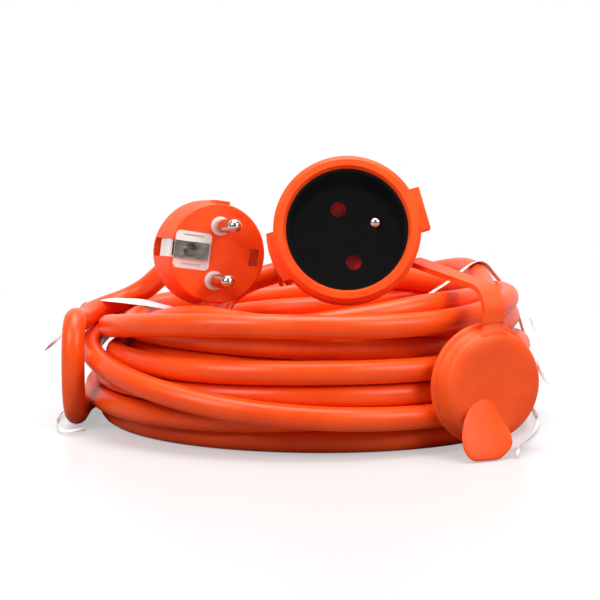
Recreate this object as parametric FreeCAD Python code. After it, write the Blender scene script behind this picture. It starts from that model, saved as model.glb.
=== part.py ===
import FreeCAD, Part
import math
import os

# Ready-wound extension lead: plug, coupler with cap, and a loose round bundle of cord.
# Millimetres, +Z up, +X right and -Y towards the side that the photograph shows.
# The origin lies on the floor, in the middle of the box of the plug, coupler, strap and cap.

V = FreeCAD.Vector
turn_of_degrees = math.pi / 180.0

# Cord and cores
cord_d = 8.0
core_wire_d = 2.8
moulded_gap = 0.05
free_gap = 0.3

# Bundle of turns, measured to the middle of the cord
bundle_centre = V(-9.5, 26.2, 0)
bundle_radius = 72.5
bundle_width = 29.0
bundle_top = 40.8
bundle_corner = 8.4
bundle_lift = 0.8
bundle_turns = 7.64
bundle_first_angle = 140.0
bundle_drop_in = 7.5
bundle_drop_down = 6.6
bundle_end_run = 8.0
turns_per_biarc = 0.25
core_clearance = 0.8

# Plug, along its own axis from the front face
plug_face_at = bundle_centre + V(-32.2, -21.0, 60.5)
plug_yaw = 19.0
plug_pitch = 5.0
plug_roll = 9.0
plug_face_r = 17.3
plug_body_r = 18.5
plug_body_length = 30.0
plug_wall = 1.6
plug_insert_r = 14.0
plug_insert_depth = 12.0
plug_frame_side = 13.0
plug_frame_x = 8.9
plug_frame_corner = 1.6
plug_groove = V(0.9, 7.0, 0.8)
plug_edge = 0.5
far_clip_x = 14.8
far_clip_thickness = 3.0
plug_relief_root_r = 8.6
plug_relief_bend_r = 26.0
plug_relief_turn = 42.0

# Pins and contacts shared by plug and coupler
pin_r = 2.4
pin_root_r = 2.2
pin_collar_r = 3.3
pin_collar_height = 0.5
pin_spacing = 19.0
pin_length = 19.0
earth_offset = 10.0
earth_tube_wall = 0.45
crimp_r = 2.0
crimp_length = 6.0
strip_thickness = 0.9
strip_width = 5.8
clip_width = 4.8
clip_thickness = 2.4
clip_x = 15.6

# Coupler, along its own axis from the rim
coupler_rim_at = bundle_centre + V(12.4, -42.0, 71.1)
coupler_pitch = 13.0
coupler_roll = 16.0
coupler_ring_r = 25.0
coupler_ring_length = 9.0
coupler_body_r = 21.8
coupler_body_length = 48.0
coupler_insert_r = 20.65
recess_r = 19.7
recess_depth = 17.0
insert_set_back = 2.0
ring_bevel = 0.9
insert_floor = 3.0
shutter_thickness = 2.0
shutter_travel = 6.2
shutter_half_width = 3.2
pin_hole_r = 2.75
carrier_length = 5.7
sleeve_wall = 1.0
earth_pin_set_back = 4.0
lug_width = 14.5
lug_reach = 27.2
far_lug_reach = 27.4
far_lug_low = -10.5
far_lug_high = 6.5
spring_r = 0.9
coupler_relief_bend_r = 25.0
coupler_relief_turn = 88.0
coupler_relief_root_r = 9.2
relief_tip_r = 5.6
relief_ribs = 6
relief_groove = 1.1

# Cap on its strap
cap_top_at = bundle_centre + V(59.2, -71.6, 43.8)
cap_yaw = 28.0
cap_r = 20.0
cap_front_r = 19.4
cap_edge = 2.6
cap_depth = 7.4
cap_bead = 2.6
cap_wall = 2.2
cap_skirt = 2.4
tab_width = 15.0
tab_length = 23.5
tab_turn = -20.0
tab_lift = 8.5
tab_thickness = 2.0
strap_width = 7.6
strap_thickness = 1.8
strap_reach = 52.0
strap_start_z = 58.5
strap_bend_z = 53.9
strap_bend_r = 8.0
hinge_gap = 0.35
collar_wall = 2.4
collar_width = 7.5

# Ties round the bundle
tie_thickness = 0.6
tie_width = 3.0
tie_left_angle = 166.0
tie_right_angle = 12.0
tie_corner = 6.0
tie_clearance = 1.2
tie_headroom = 1.7
tie_left_reach_in = 9.8
tie_left_reach_out = 9.4
tie_right_reach_in = 4.5


def unit(vector):
    return V(vector).normalize()


def placed_frame(origin, forward, side):
    """Placement whose local Z is forward and local X is side."""
    z = unit(forward)
    x = unit(side - z * side.dot(z))
    y = z.cross(x)
    matrix = FreeCAD.Matrix(
        x.x, y.x, z.x, origin.x,
        x.y, y.y, z.y, origin.y,
        x.z, y.z, z.z, origin.z,
        0, 0, 0, 1,
    )
    return FreeCAD.Placement(matrix)


def placed(shape, placement):
    return shape.transformed(placement.toMatrix(), True)


def drum(radius, z_low, z_high, x=0.0, y=0.0):
    return Part.makeCylinder(radius, z_high - z_low, V(x, y, z_low))


def block(x_low, x_high, y_low, y_high, z_low, z_high):
    return Part.makeBox(x_high - x_low, y_high - y_low, z_high - z_low, V(x_low, y_low, z_low))


def turned(outline):
    """Solid of revolution about local Z from a list of (radius, z)."""
    corners = [V(r, 0, z) for r, z in outline]
    face = Part.Face(Part.makePolygon(corners + [corners[0]]))
    return face.revolve(V(0, 0, 0), V(0, 0, 1), 360)


def arc_between(start, corner, end):
    """Circular arc that leaves start towards corner and arrives at end from corner."""
    half_chord = (end - start) * 0.5
    middle = start + half_chord
    to_corner = corner - middle
    if to_corner.Length < 1e-7:
        return Part.LineSegment(start, end).toShape()
    cosine = half_chord.Length / (corner - start).Length
    top = middle + to_corner * (cosine / (1 + cosine))
    return Part.Arc(start, top, end).toShape()


def rounded_route(points, name):
    """Straight runs joined by arcs as large as the runs allow; prints the radii."""
    edges = []
    radii = []
    last = points[0]
    for before, corner, after in zip(points, points[1:], points[2:]):
        run_in = (corner - before).Length
        run_out = (after - corner).Length
        cut = 0.45 * min(run_in, run_out)
        arrive = unit(corner - before)
        leave = unit(after - corner)
        start = corner - arrive * cut
        end = corner + leave * cut
        turn = arrive.getAngle(leave)
        radii.append(cut / math.tan(turn / 2))
        edges.append(Part.LineSegment(last, start).toShape())
        edges.append(arc_between(start, corner, end))
        last = end
    edges.append(Part.LineSegment(last, points[-1]).toShape())
    if name:
        print(name, "radii", [round(r, 1) for r in radii], "turns",
              [round(math.degrees(unit(b - a).getAngle(unit(c - b))))
               for a, b, c in zip(points, points[1:], points[2:])])
    return Part.Wire(edges)


def tube_along(wire, start, heading, radius):
    """Round solid along a wire that starts at a point with a heading."""
    profile = Part.Wire([Part.Circle(start, heading, radius).toShape()])
    return wire.makePipeShell([profile], True, False)


def route_tube(points, radius, name=""):
    wire = rounded_route(points, name)
    tube = tube_along(wire, points[0], points[1] - points[0], radius)
    if name:
        section = math.pi * radius ** 2
        print(name, "length", round(wire.Length, 1), "volume over section times length",
              round(tube.Volume / (section * wire.Length), 4))
    return tube


# Winding of the bundle


def section_path():
    """Stretches of the path that the cord's middle follows across the bundle's section."""
    outer = bundle_radius
    inner = bundle_radius - bundle_width
    low = cord_d / 2 + bundle_lift
    shoulder = bundle_top - bundle_corner
    quarter = bundle_corner * math.pi / 2
    across = bundle_width - 2 * bundle_corner
    drop = math.hypot(bundle_drop_in, bundle_drop_down)
    return [
        ("line", shoulder - low, (outer, low), (outer, shoulder)),
        ("arc", quarter, (outer - bundle_corner, shoulder), 0.0),
        ("line", across, (outer - bundle_corner, bundle_top), (inner + bundle_corner, bundle_top)),
        ("arc", quarter, (inner + bundle_corner, shoulder), 90.0),
        ("line", drop, (inner, shoulder), (inner - bundle_drop_in, shoulder - bundle_drop_down)),
    ]


def section_point(travel):
    """Radius, height and their rates of change after a length of travel across the section."""
    stretches = section_path()
    for index, (kind, length, start, more) in enumerate(stretches):
        if travel <= length or index == len(stretches) - 1:
            break
        travel -= length
    if kind == "line":
        part = travel / length
        step_r = more[0] - start[0]
        step_z = more[1] - start[1]
        return start[0] + step_r * part, start[1] + step_z * part, step_r / length, step_z / length
    angle = more * turn_of_degrees + travel / bundle_corner
    r = start[0] + bundle_corner * math.cos(angle)
    z = start[1] + bundle_corner * math.sin(angle)
    return r, z, -math.sin(angle), math.cos(angle)


def coil_point(share):
    """Place and heading of the cord's middle at a share of the winding."""
    total = sum(stretch[1] for stretch in section_path())
    r, z, rate_r, rate_z = section_point(share * total)
    sweep = -2 * math.pi * bundle_turns
    angle = bundle_first_angle * turn_of_degrees + sweep * share
    outward = V(math.cos(angle), math.sin(angle), 0)
    along = V(-math.sin(angle), math.cos(angle), 0)
    place = bundle_centre + outward * r + V(0, 0, z)
    heading = outward * (rate_r * total) + along * (r * sweep) + V(0, 0, rate_z * total)
    return place, unit(heading)


def biarc(start, start_heading, end, end_heading):
    """Two arcs that leave start and arrive at end along their headings."""
    gap = end - start
    both = start_heading + end_heading
    square = 2 * start_heading.dot(end_heading) - 2
    linear = -2 * gap.dot(both)
    constant = gap.dot(gap)
    reach = (-linear - math.sqrt(linear ** 2 - 4 * square * constant)) / (2 * square)
    first_corner = start + start_heading * reach
    second_corner = end - end_heading * reach
    joint = (first_corner + second_corner) * 0.5
    return [arc_between(start, first_corner, joint), arc_between(joint, second_corner, end)]


def coil_wire():
    steps = round(bundle_turns / turns_per_biarc)
    stations = [coil_point(index / steps) for index in range(steps + 1)]
    first_place, first_heading = stations[0]
    last_place, last_heading = stations[-1]
    edges = [Part.LineSegment(first_place - first_heading * bundle_end_run, first_place).toShape()]
    for (a, heading_a), (b, heading_b) in zip(stations, stations[1:]):
        edges += biarc(a, heading_a, b, heading_b)
    edges.append(Part.LineSegment(last_place, last_place + last_heading * bundle_end_run).toShape())
    return Part.Wire(edges)


def print_coil_gap(wire):
    """Least gap of the wound tube to itself, measured on points along its middle."""
    spacing = 3.0
    points = wire.discretize(Distance=spacing)
    apart = int(0.6 * 2 * math.pi * (bundle_radius - bundle_width) / spacing)
    least = min(
        (points[i] - points[j]).Length
        for i in range(len(points)) for j in range(i + apart, len(points))
    )
    print("coil length", round(wire.Length), "least gap", round(least - cord_d, 2))


def coil_ends():
    first_place, first_heading = coil_point(0.0)
    last_place, last_heading = coil_point(1.0)
    first_end = first_place - first_heading * bundle_end_run
    last_end = last_place + last_heading * bundle_end_run
    return (first_end, first_heading), (last_end, last_heading)


def make_coil():
    wire = coil_wire()
    print_coil_gap(wire)
    (start, heading), _ = coil_ends()
    return tube_along(wire, start, heading, cord_d / 2)


def make_coil_core():
    """Plain ring that stands for the turns that the outer ones hide."""
    clear = cord_d / 2 + core_clearance
    outer = bundle_radius - clear
    inner = bundle_radius - bundle_width + clear
    top = bundle_top - clear
    corner = bundle_corner - clear
    core = turned([
        (inner, 0), (outer, 0), (outer, top - corner), (outer - corner, top), (inner + corner, top), (inner, top - corner),
    ])
    core.translate(bundle_centre)
    for angle in (tie_left_angle, tie_right_angle):
        groove = block(0, 2 * bundle_radius, -tie_width, tie_width, -1, tie_thickness + free_gap)
        groove.rotate(V(0, 0, 0), V(0, 0, 1), angle)
        groove.translate(bundle_centre)
        core = core.cut(groove)
    return core


# Free stretches of the cord


def plug_frame():
    yaw = plug_yaw * turn_of_degrees
    pitch = plug_pitch * turn_of_degrees
    roll = plug_roll * turn_of_degrees
    forward = V(math.sin(yaw) * math.cos(pitch), -math.cos(yaw) * math.cos(pitch), math.sin(pitch))
    right = V(math.cos(yaw), math.sin(yaw), 0)
    up = forward.cross(right)
    return placed_frame(plug_face_at, forward, up * math.sin(roll) - right * math.cos(roll))


def coupler_frame():
    pitch = coupler_pitch * turn_of_degrees
    roll = coupler_roll * turn_of_degrees
    forward = V(0, -math.cos(pitch), math.sin(pitch))
    right = V(1, 0, 0)
    up = V(0, math.sin(pitch), math.cos(pitch))
    return placed_frame(coupler_rim_at, forward, right * math.cos(roll) + up * math.sin(roll))


def heading_of(placement, x, y, z):
    return placement.Rotation.multVec(V(x, y, z))


def bent_axis(root, back, lean, bend_r, turn, share):
    """Place and heading on an arc that leaves root backwards and bends towards lean."""
    side = unit(lean - back * lean.dot(back))
    angle = turn * turn_of_degrees * share
    place = root + back * (bend_r * math.sin(angle)) + side * (bend_r * (1 - math.cos(angle)))
    return place, back * math.cos(angle) + side * math.sin(angle)


def plug_relief_axis(share):
    frame = plug_frame()
    root = frame.multVec(V(0, 0, -plug_body_length))
    back = heading_of(frame, 0, 0, -1)
    return bent_axis(root, back, V(-1, 0, -0.45), plug_relief_bend_r, plug_relief_turn, share)


def coupler_relief_axis(share):
    frame = coupler_frame()
    root = frame.multVec(V(0, 0, -coupler_body_length))
    back = heading_of(frame, 0, 0, -1)
    return bent_axis(root, back, V(-1, 0, -0.28), coupler_relief_bend_r, coupler_relief_turn, share)


def plug_cord_points():
    """Route from the plug's relief, behind the plug, round the upright hairpin, to the coil."""
    start, heading = plug_relief_axis(1.0)
    end = coil_ends()[0][0]
    side_x = -81.3
    chosen = [
        V(-73.6, 26.0, 44.9),
        V(side_x, 13.5, 39.3),
        V(side_x, -15.0, 36.9),
        V(side_x, -15.0, 4.9),
        V(side_x, 15.5, 4.8),
    ]
    first = start + heading * 10.8
    return [start, first] + [bundle_centre + p for p in chosen] + [end]


def coupler_cord_points():
    """Route from the coupler's relief, inside the ring, to the coil's inner end."""
    start, heading = coupler_relief_axis(1.0)
    end, end_heading = coil_ends()[1]
    chosen = [
        V(-28.4, 21.8, 42.2),
        V(-32.3, 13.3, 37.9),
        V(-32.6, 2.6, 33.7),
        V(-33.5, -14.7, 24.4),
        V(-28.5, -29.0, 23.5),
    ]
    first = start + heading * 10.3
    last = end + end_heading * 7.8
    return [start, first] + [bundle_centre + p for p in chosen] + [last, end]


# Strain reliefs


def relief_rows(root_r):
    """Share along the axis and radius of each circle: root band, then four circles a rib."""
    rows = [(0.0, root_r)]
    pitch = 1.0 / (relief_ribs + 0.5)
    for rib in range(relief_ribs):
        base = pitch * (rib + 0.5)
        crest = root_r + (relief_tip_r - root_r) * (rib + 1) / relief_ribs
        groove = crest - relief_groove
        rows += [(base, crest + 0.4), (base + 0.1 * pitch, groove)]
        rows += [(base + 0.45 * pitch, groove), (base + 0.55 * pitch, crest)]
    rows.append((1.0, relief_tip_r))
    return rows


def make_relief(axis, root_r):
    """Tapered sleeve with ribs, as straight lofts between circles on a bent axis."""
    wires = []
    for share, radius in relief_rows(root_r):
        place, heading = axis(share)
        wires.append(Part.Wire([Part.Circle(place, heading, radius).toShape()]))
    return Part.makeLoft(wires, True, True)


# Plug


def plug_pin(y):
    shoulder = pin_collar_height + moulded_gap
    root = drum(pin_root_r, -plug_insert_depth, shoulder, 0, y)
    shank = drum(pin_r, shoulder, pin_length - pin_r, 0, y).fuse(root)
    tip = Part.makeSphere(pin_r, V(0, y, pin_length - pin_r))
    return shank.fuse(tip).removeSplitter()


def frame_block(grow, z_low, z_high):
    """Square frame round the earth contact, with round corners."""
    half = plug_frame_side / 2 + grow
    window = block(plug_frame_x - half, plug_frame_x + half, -half, half, z_low, z_high)
    upright = [edge for edge in window.Edges if edge.BoundBox.ZLength > z_high - z_low - 0.01]
    return window.makeFillet(plug_frame_corner + grow, upright)


def plug_insert_shape(grow):
    """Insert of the plug; grow widens it into the pocket that holds it."""
    puck = drum(plug_insert_r + grow, -plug_insert_depth - grow, -plug_wall + grow)
    shape = puck.fuse(frame_block(grow, -plug_wall - 1, -0.15))
    for y in (-pin_spacing / 2, pin_spacing / 2):
        shape = shape.fuse(drum(pin_collar_r + grow, -plug_wall - 1, pin_collar_height, 0, y))
    wing = block(plug_insert_r - 2, plug_face_r - 0.3, -3.1 - grow, 3.1 + grow, -plug_insert_depth - grow, -1.0)
    return shape.fuse(wing)


def make_plug_body():
    shell = turned([
        (0, 0), (plug_face_r - plug_edge, 0), (plug_face_r, -plug_edge), (plug_body_r - 0.2, -9), (plug_body_r, -15),
        (plug_body_r - 1.6, -22), (plug_relief_root_r + 1.9, -plug_body_length), (0, -plug_body_length),
    ])
    top_key = block(-2.6, 2.6, plug_face_r - 2, plug_face_r + 1.0, -14, -0.4)
    shell = shell.fuse([top_key, top_key.mirror(V(0, 0, 0), V(0, 1, 0))])
    cavity = turned([
        (0, -plug_insert_depth), (12.6, -plug_insert_depth), (12.6, -21), (5, -28), (5, -plug_body_length), (0, -plug_body_length),
    ])
    shell = shell.cut(cavity).cut(plug_insert_shape(moulded_gap))
    for y in (-pin_spacing / 2, pin_spacing / 2):
        shell = shell.cut(drum(pin_collar_r + moulded_gap, -plug_wall - 1, 1, 0, y))
    shell = shell.cut(frame_block(moulded_gap, -plug_wall - 1, 1))
    near_slot = block(clip_x - clip_thickness - 0.4, 20, -3.2, 3.2, -plug_insert_depth - 4, 1)
    far_slot = block(-20, -far_clip_x + far_clip_thickness + 0.4, -3.2, 3.2, -plug_insert_depth - 4, -2.5)
    far_window = block(-far_clip_x - 0.1, -far_clip_x + far_clip_thickness + 0.1, -3.0, 3.0, -3.5, 1)
    shell = shell.cut(near_slot).cut(far_slot).cut(far_window)
    reach = clip_x + free_gap
    under = -plug_insert_depth
    return shell.cut(block(-reach, reach, -3.2, 3.2, under - 4, under))


def make_plug_insert():
    shape = plug_insert_shape(0.0)
    for y in (-pin_spacing / 2, pin_spacing / 2):
        shape = shape.cut(drum(pin_root_r + moulded_gap, -20, 5, 0, y))
    tube_r = pin_r + moulded_gap + earth_tube_wall
    shape = shape.cut(drum(tube_r + moulded_gap, -20, 5, earth_offset, 0))
    half = clip_width / 2 + 0.1
    shape = shape.cut(block(clip_x - clip_thickness - 0.2, clip_x + 0.3, -half, half, -20, 1))
    half = strip_width / 2 + 0.1
    shape = shape.cut(block(-far_clip_x - 0.3, -far_clip_x + far_clip_thickness + 0.2, -half, half, -20, 1))
    deep, long, sunk = plug_groove
    for y in (-5.0, 5.0):
        low = plug_frame_x - long / 2
        shape = shape.cut(block(low, low + long, y - deep / 2, y + deep / 2, -sunk, 1))
    return shape


def make_plug_earth_strip():
    half = strip_width / 2
    back = -plug_insert_depth - free_gap
    bar = block(-far_clip_x, clip_x, -half, half, back - strip_thickness, back)
    narrow = clip_width / 2
    near = block(clip_x - strip_thickness, clip_x, -narrow, narrow, back - strip_thickness, strip_thickness)
    face = block(plug_frame_x - plug_frame_side / 2 + 0.8, clip_x, -half, half, 0, strip_thickness)
    fold = block(-far_clip_x, -far_clip_x + far_clip_thickness, -half, half, back - strip_thickness, -0.3)
    strip = bar.fuse([near, face, fold]).removeSplitter()
    return strip.cut(drum(pin_r + moulded_gap, -1, 5, earth_offset, 0))


def make_plug_earth_tube():
    bore = pin_r + moulded_gap
    outer = bore + earth_tube_wall
    back = -plug_insert_depth - free_gap + moulded_gap
    return drum(outer, back, -moulded_gap, earth_offset, 0).cut(drum(bore, back - 1, 1, earth_offset, 0))


def crimp_group(z_top, places):
    solids = [drum(crimp_r, z_top - crimp_length, z_top, x, y) for x, y in places]
    return Part.Compound(solids)


def core_wire(x, y, z_start, z_end):
    """Insulated core from its crimp towards the middle of the cord."""
    near = 2.15 / math.hypot(x, y)
    drop = z_start - z_end
    points = [
        V(x, y, z_start), V(x, y, z_start - 0.2 * drop),
        V(x * near, y * near, z_end + 0.28 * drop), V(x * near, y * near, z_end),
    ]
    return route_tube(points, core_wire_d / 2)


def make_plug():
    frame = plug_frame()
    half = pin_spacing / 2
    crimp_top = -plug_insert_depth - free_gap - strip_thickness - moulded_gap
    core_top = crimp_top - crimp_length - moulded_gap
    parts = {
        "plug_body": make_plug_body(),
        "plug_insert": make_plug_insert(),
        "plug_line_pin": plug_pin(-half),
        "plug_neutral_pin": plug_pin(half),
        "plug_earth_strip": make_plug_earth_strip(),
        "plug_earth_tube": make_plug_earth_tube(),
        "plug_crimps": crimp_group(crimp_top, [(0, -half), (0, half), (earth_offset - 4, 0)]),
        "plug_core_brown": core_wire(0, -half, core_top, -plug_body_length + moulded_gap),
        "plug_core_blue": core_wire(0, half, core_top, -plug_body_length + moulded_gap),
        "plug_core_green_yellow": core_wire(earth_offset - 4, 0, core_top, -plug_body_length + moulded_gap),
    }
    return {name: placed(shape, frame) for name, shape in parts.items()}


# Coupler


def make_coupler_body():
    bore = coupler_insert_r + moulded_gap
    rear = -coupler_body_length
    outline = [
        (bore, -insert_set_back), (bore + ring_bevel, 0), (coupler_ring_r - 1.4, 0), (coupler_ring_r, -1.4), (coupler_ring_r, -coupler_ring_length),
        (coupler_body_r, -coupler_ring_length), (coupler_body_r, -31), (coupler_body_r - 1.2, -35.5),
        (14.5, -42), (coupler_relief_root_r + 0.4, rear), (5, rear), (5, -45.5), (12.6, -39),
        (18.6, -34.6), (bore, -30.9),
    ]
    shell = turned(outline)
    lug = block(coupler_ring_r - 2.5, lug_reach, -lug_width / 2, lug_width / 2, -coupler_ring_length, -1.6)
    far_lug = drum(far_lug_reach, -coupler_ring_length, -5.0)
    far_lug = far_lug.common(block(-30, -10, far_lug_low, far_lug_high, -coupler_ring_length, 0))
    opening = drum(coupler_ring_r - 1.5, -coupler_ring_length - 1, 1)
    return shell.fuse([lug.cut(opening), far_lug.cut(opening)]).removeSplitter()


def insert_back():
    return -recess_depth - insert_set_back - insert_floor


def make_coupler_insert():
    cup = drum(coupler_insert_r, insert_back(), -insert_set_back)
    cup = cup.cut(drum(recess_r, -recess_depth - insert_set_back, 1))
    for y in (-pin_spacing / 2, pin_spacing / 2):
        cup = cup.cut(drum(pin_hole_r, insert_back() - 1, 0, 0, y))
    return cup.cut(drum(pin_root_r + moulded_gap, insert_back() - 1, 0, earth_offset, 0))


def shutter_front():
    return insert_back() - free_gap


def carrier_front():
    return shutter_front() - shutter_thickness - free_gap


def make_shutter():
    half = pin_spacing / 2 + 3.6
    wide = shutter_half_width
    bar = block(-wide, wide, -half, half, shutter_front() - shutter_thickness, shutter_front())
    waist = block(0.6, wide + 1, -half + 8, half - 8, shutter_front() - shutter_thickness - 1, shutter_front() + 1)
    return bar.cut(waist)


def make_carrier():
    front = carrier_front()
    outer_r = coupler_insert_r - free_gap
    disc = drum(outer_r, front - carrier_length, front)
    half = pin_spacing / 2 + 3.6
    top = insert_back() - moulded_gap
    stop_x = shutter_half_width + free_gap
    seat_x = -shutter_half_width - shutter_travel - 5.6
    guides = [
        block(seat_x, stop_x, half + 0.2, half + 2.0, front - 1, top),
        block(seat_x, stop_x, -half - 2.0, -half - 0.2, front - 1, top),
        block(stop_x, stop_x + 1.6, -3.4, 3.4, front - 1, top),
        block(seat_x - 1.6, seat_x, -3.4, 3.4, front - 1, top),
    ]
    inside = drum(outer_r, front - carrier_length, top)
    carrier = disc.fuse(guides).common(inside).removeSplitter()
    sleeve_hole = pin_r + moulded_gap + sleeve_wall + moulded_gap
    for y in (-pin_spacing / 2, pin_spacing / 2):
        carrier = carrier.cut(drum(sleeve_hole, front - carrier_length - 1, front + 4, 0, y))
    return carrier.cut(drum(pin_root_r + moulded_gap, front - carrier_length - 1, front + 4, earth_offset, 0))


def make_shutter_spring():
    """Compression spring from its seat to the shutter, as one plain sleeve."""
    seat_x = -shutter_half_width - shutter_travel - 5.6
    length = -shutter_half_width - seat_x - 2 * moulded_gap
    place = V(seat_x + moulded_gap, 0, shutter_front() - shutter_thickness / 2)
    outer = Part.makeCylinder(spring_r, length, place, V(1, 0, 0))
    return outer.cut(Part.makeCylinder(spring_r - 0.35, length, place, V(1, 0, 0)))


def sleeve_back():
    return carrier_front() - carrier_length - 1.0


def contact_sleeve(y):
    bore = pin_r + moulded_gap
    front = carrier_front() - moulded_gap
    outer = drum(bore + sleeve_wall, sleeve_back(), front, 0, y)
    return outer.cut(drum(bore, sleeve_back() + 1.2, front + 1, 0, y))


def make_coupler_earth_pin():
    tip_z = -earth_pin_set_back - pin_r
    shoulder = -recess_depth - insert_set_back + moulded_gap
    root = drum(pin_root_r, sleeve_back(), shoulder, earth_offset, 0)
    shank = drum(pin_r, shoulder, tip_z, earth_offset, 0).fuse(root)
    return shank.fuse(Part.makeSphere(pin_r, V(earth_offset, 0, tip_z))).removeSplitter()


def make_earth_link():
    top = carrier_front() - carrier_length - moulded_gap
    plate = block(earth_offset - 5.6, earth_offset + 4.5, -3.4, 3.4, top - 0.9, top)
    return plate.cut(drum(pin_root_r + moulded_gap, top - 2, top + 1, earth_offset, 0))


def make_coupler():
    frame = coupler_frame()
    half = pin_spacing / 2
    crimp_top = sleeve_back() - moulded_gap
    core_top = crimp_top - crimp_length - moulded_gap
    core_end = -coupler_body_length + moulded_gap
    parts = {
        "coupler_body": make_coupler_body(),
        "coupler_insert": make_coupler_insert(),
        "coupler_shutter": make_shutter(),
        "shutter_spring": make_shutter_spring(),
        "coupler_carrier": make_carrier(),
        "line_sleeve": contact_sleeve(half),
        "neutral_sleeve": contact_sleeve(-half),
        "coupler_earth_pin": make_coupler_earth_pin(),
        "coupler_earth_link": make_earth_link(),
        "coupler_crimps": crimp_group(crimp_top, [(0, -half), (0, half), (earth_offset, 0)]),
        "coupler_core_brown": core_wire(0, half, core_top, core_end),
        "coupler_core_blue": core_wire(0, -half, core_top, core_end),
        "coupler_core_green_yellow": core_wire(earth_offset, 0, core_top, core_end),
    }
    return {name: placed(shape, frame) for name, shape in parts.items()}


# Cap, strap and collar


def cap_frame():
    """Local Z is the cap's outward normal, local X points up to the strap."""
    yaw = cap_yaw * turn_of_degrees
    return placed_frame(cap_top_at, V(math.sin(yaw), -math.cos(yaw), 0), V(0, 0, 1))


def make_cap():
    """Stopper cap: its top is at the local origin, half a strap behind its face."""
    face = strap_thickness / 2
    centre = -cap_r - strap_thickness / 2 - hinge_gap
    rear = face - cap_depth
    cup = turned([
        (0, face), (cap_front_r - cap_edge, face), (cap_front_r - cap_edge * 0.3, face - cap_edge * 0.3),
        (cap_front_r, face - cap_edge), (cap_front_r, rear + cap_bead), (cap_r, rear + cap_bead - 0.3),
        (cap_r, rear), (cap_r - cap_skirt, rear), (cap_r - cap_skirt, face - cap_wall), (0, face - cap_wall),
    ])
    cup.translate(V(centre, 0, 0))
    half = strap_thickness / 2
    tongue = block(centre + cap_r - cap_bead, -half - hinge_gap, -strap_width / 2, strap_width / 2, -half, half)
    return cup.fuse([make_tab(centre, face), tongue]).removeSplitter()


def make_tab(centre, face):
    """Pull tab: rises from the face below its middle and stands out past the rim."""
    low = centre - tab_length + 1.0
    sink = 0.8
    side_view = [
        V(centre + 1.5, 0, face - sink), V(centre - 6.0, 0, face + tab_lift * 0.55),
        V(low + 4.0, 0, face + tab_lift), V(low, 0, face + tab_lift * 0.9),
        V(low, 0, face + tab_lift * 0.9 - tab_thickness), V(centre - cap_front_r + 2.0, 0, face - sink),
    ]
    side = Part.Face(Part.makePolygon(side_view + [side_view[0]])).extrude(V(0, tab_width, 0))
    side.translate(V(0, -tab_width / 2, 0))
    half = tab_width / 2
    plan = [
        V(centre + 2.0, -2.4, -9), V(centre + 2.0, 2.4, -9), V(centre - 9, half, -9), V(low + 5, half, -9),
        V(low, half - 4.4, -9), V(low, 4.4 - half, -9), V(low + 5, -half, -9), V(centre - 9, -half, -9),
    ]
    outline = Part.Face(Part.makePolygon(plan + [plan[0]])).extrude(V(0, 0, 24))
    tab = side.common(outline)
    tab.rotate(V(centre, 0, 0), V(0, 0, 1), tab_turn)
    return tab


def make_strap():
    """Flat strap from the hinge at the cap, over the bundle, to the collar behind the ring."""
    frame = cap_frame()
    inward = heading_of(frame, 0, 0, -1)
    across = heading_of(frame, 0, 1, 0)
    root = cap_top_at
    up = V(0, 0, 1)
    bend = V(root.x, root.y, strap_bend_z)
    far = V(root.x, root.y, strap_start_z) + inward * strap_reach
    out = unit(far - bend)
    turn = up.getAngle(out)
    cut = strap_bend_r * math.tan(turn / 2)
    start = bend - up * cut
    end = bend + out * cut
    wire = Part.Wire([
        Part.LineSegment(root, start).toShape(), arc_between(start, bend, end), Part.LineSegment(end, far).toShape(),
    ])
    half_w = across * (strap_width / 2)
    half_t = inward * (strap_thickness / 2)
    corners = [root + half_w + half_t, root - half_w + half_t, root - half_w - half_t, root + half_w - half_t]
    profile = Part.makePolygon(corners + [corners[0]])
    ribbon = wire.makePipeShell([profile], True, False)
    knuckle = Part.makeCylinder(strap_thickness / 2, strap_width, root - half_w, across)
    placement = coupler_frame()
    front = -coupler_ring_length - free_gap
    inner_r = coupler_body_r + free_gap
    collar = drum(inner_r + collar_wall, front - collar_width, front).cut(drum(inner_r, front - collar_width, front))
    hollow = placed(drum(inner_r, -coupler_body_length, 0), placement)
    ribbon = ribbon.cut(hollow).cut(placed(drum(coupler_ring_r + free_gap, front, 0), placement))
    return ribbon.fuse([knuckle, placed(collar, placement)]).removeSplitter()


# Ties


def make_tie(angle, reach_in, reach_out):
    """Flat loop round the bundle's section at one place."""
    clear = cord_d / 2 + tie_clearance
    inner = bundle_radius - bundle_width - reach_in - clear
    outer = bundle_radius + reach_out + clear
    low = moulded_gap
    top = bundle_top + clear + tie_headroom + tie_thickness
    outline = block(inner - tie_thickness, outer + tie_thickness, -tie_width / 2, tie_width / 2, low, top)
    hollow = block(inner, outer, -tie_width, tie_width, low + tie_thickness, top - tie_thickness)
    long_edges = [
        edge for edge in outline.Edges
        if abs(edge.BoundBox.YLength - tie_width) < 0.01 and edge.CenterOfMass.z > bundle_top
    ]
    band = outline.makeFillet(tie_corner, long_edges)
    inner_edges = [
        edge for edge in hollow.Edges
        if abs(edge.BoundBox.YLength - 2 * tie_width) < 0.01 and edge.CenterOfMass.z > bundle_top
    ]
    band = band.cut(hollow.makeFillet(tie_corner - tie_thickness, inner_edges))
    band.rotate(V(0, 0, 0), V(0, 0, 1), angle)
    band.translate(bundle_centre)
    return band


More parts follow.
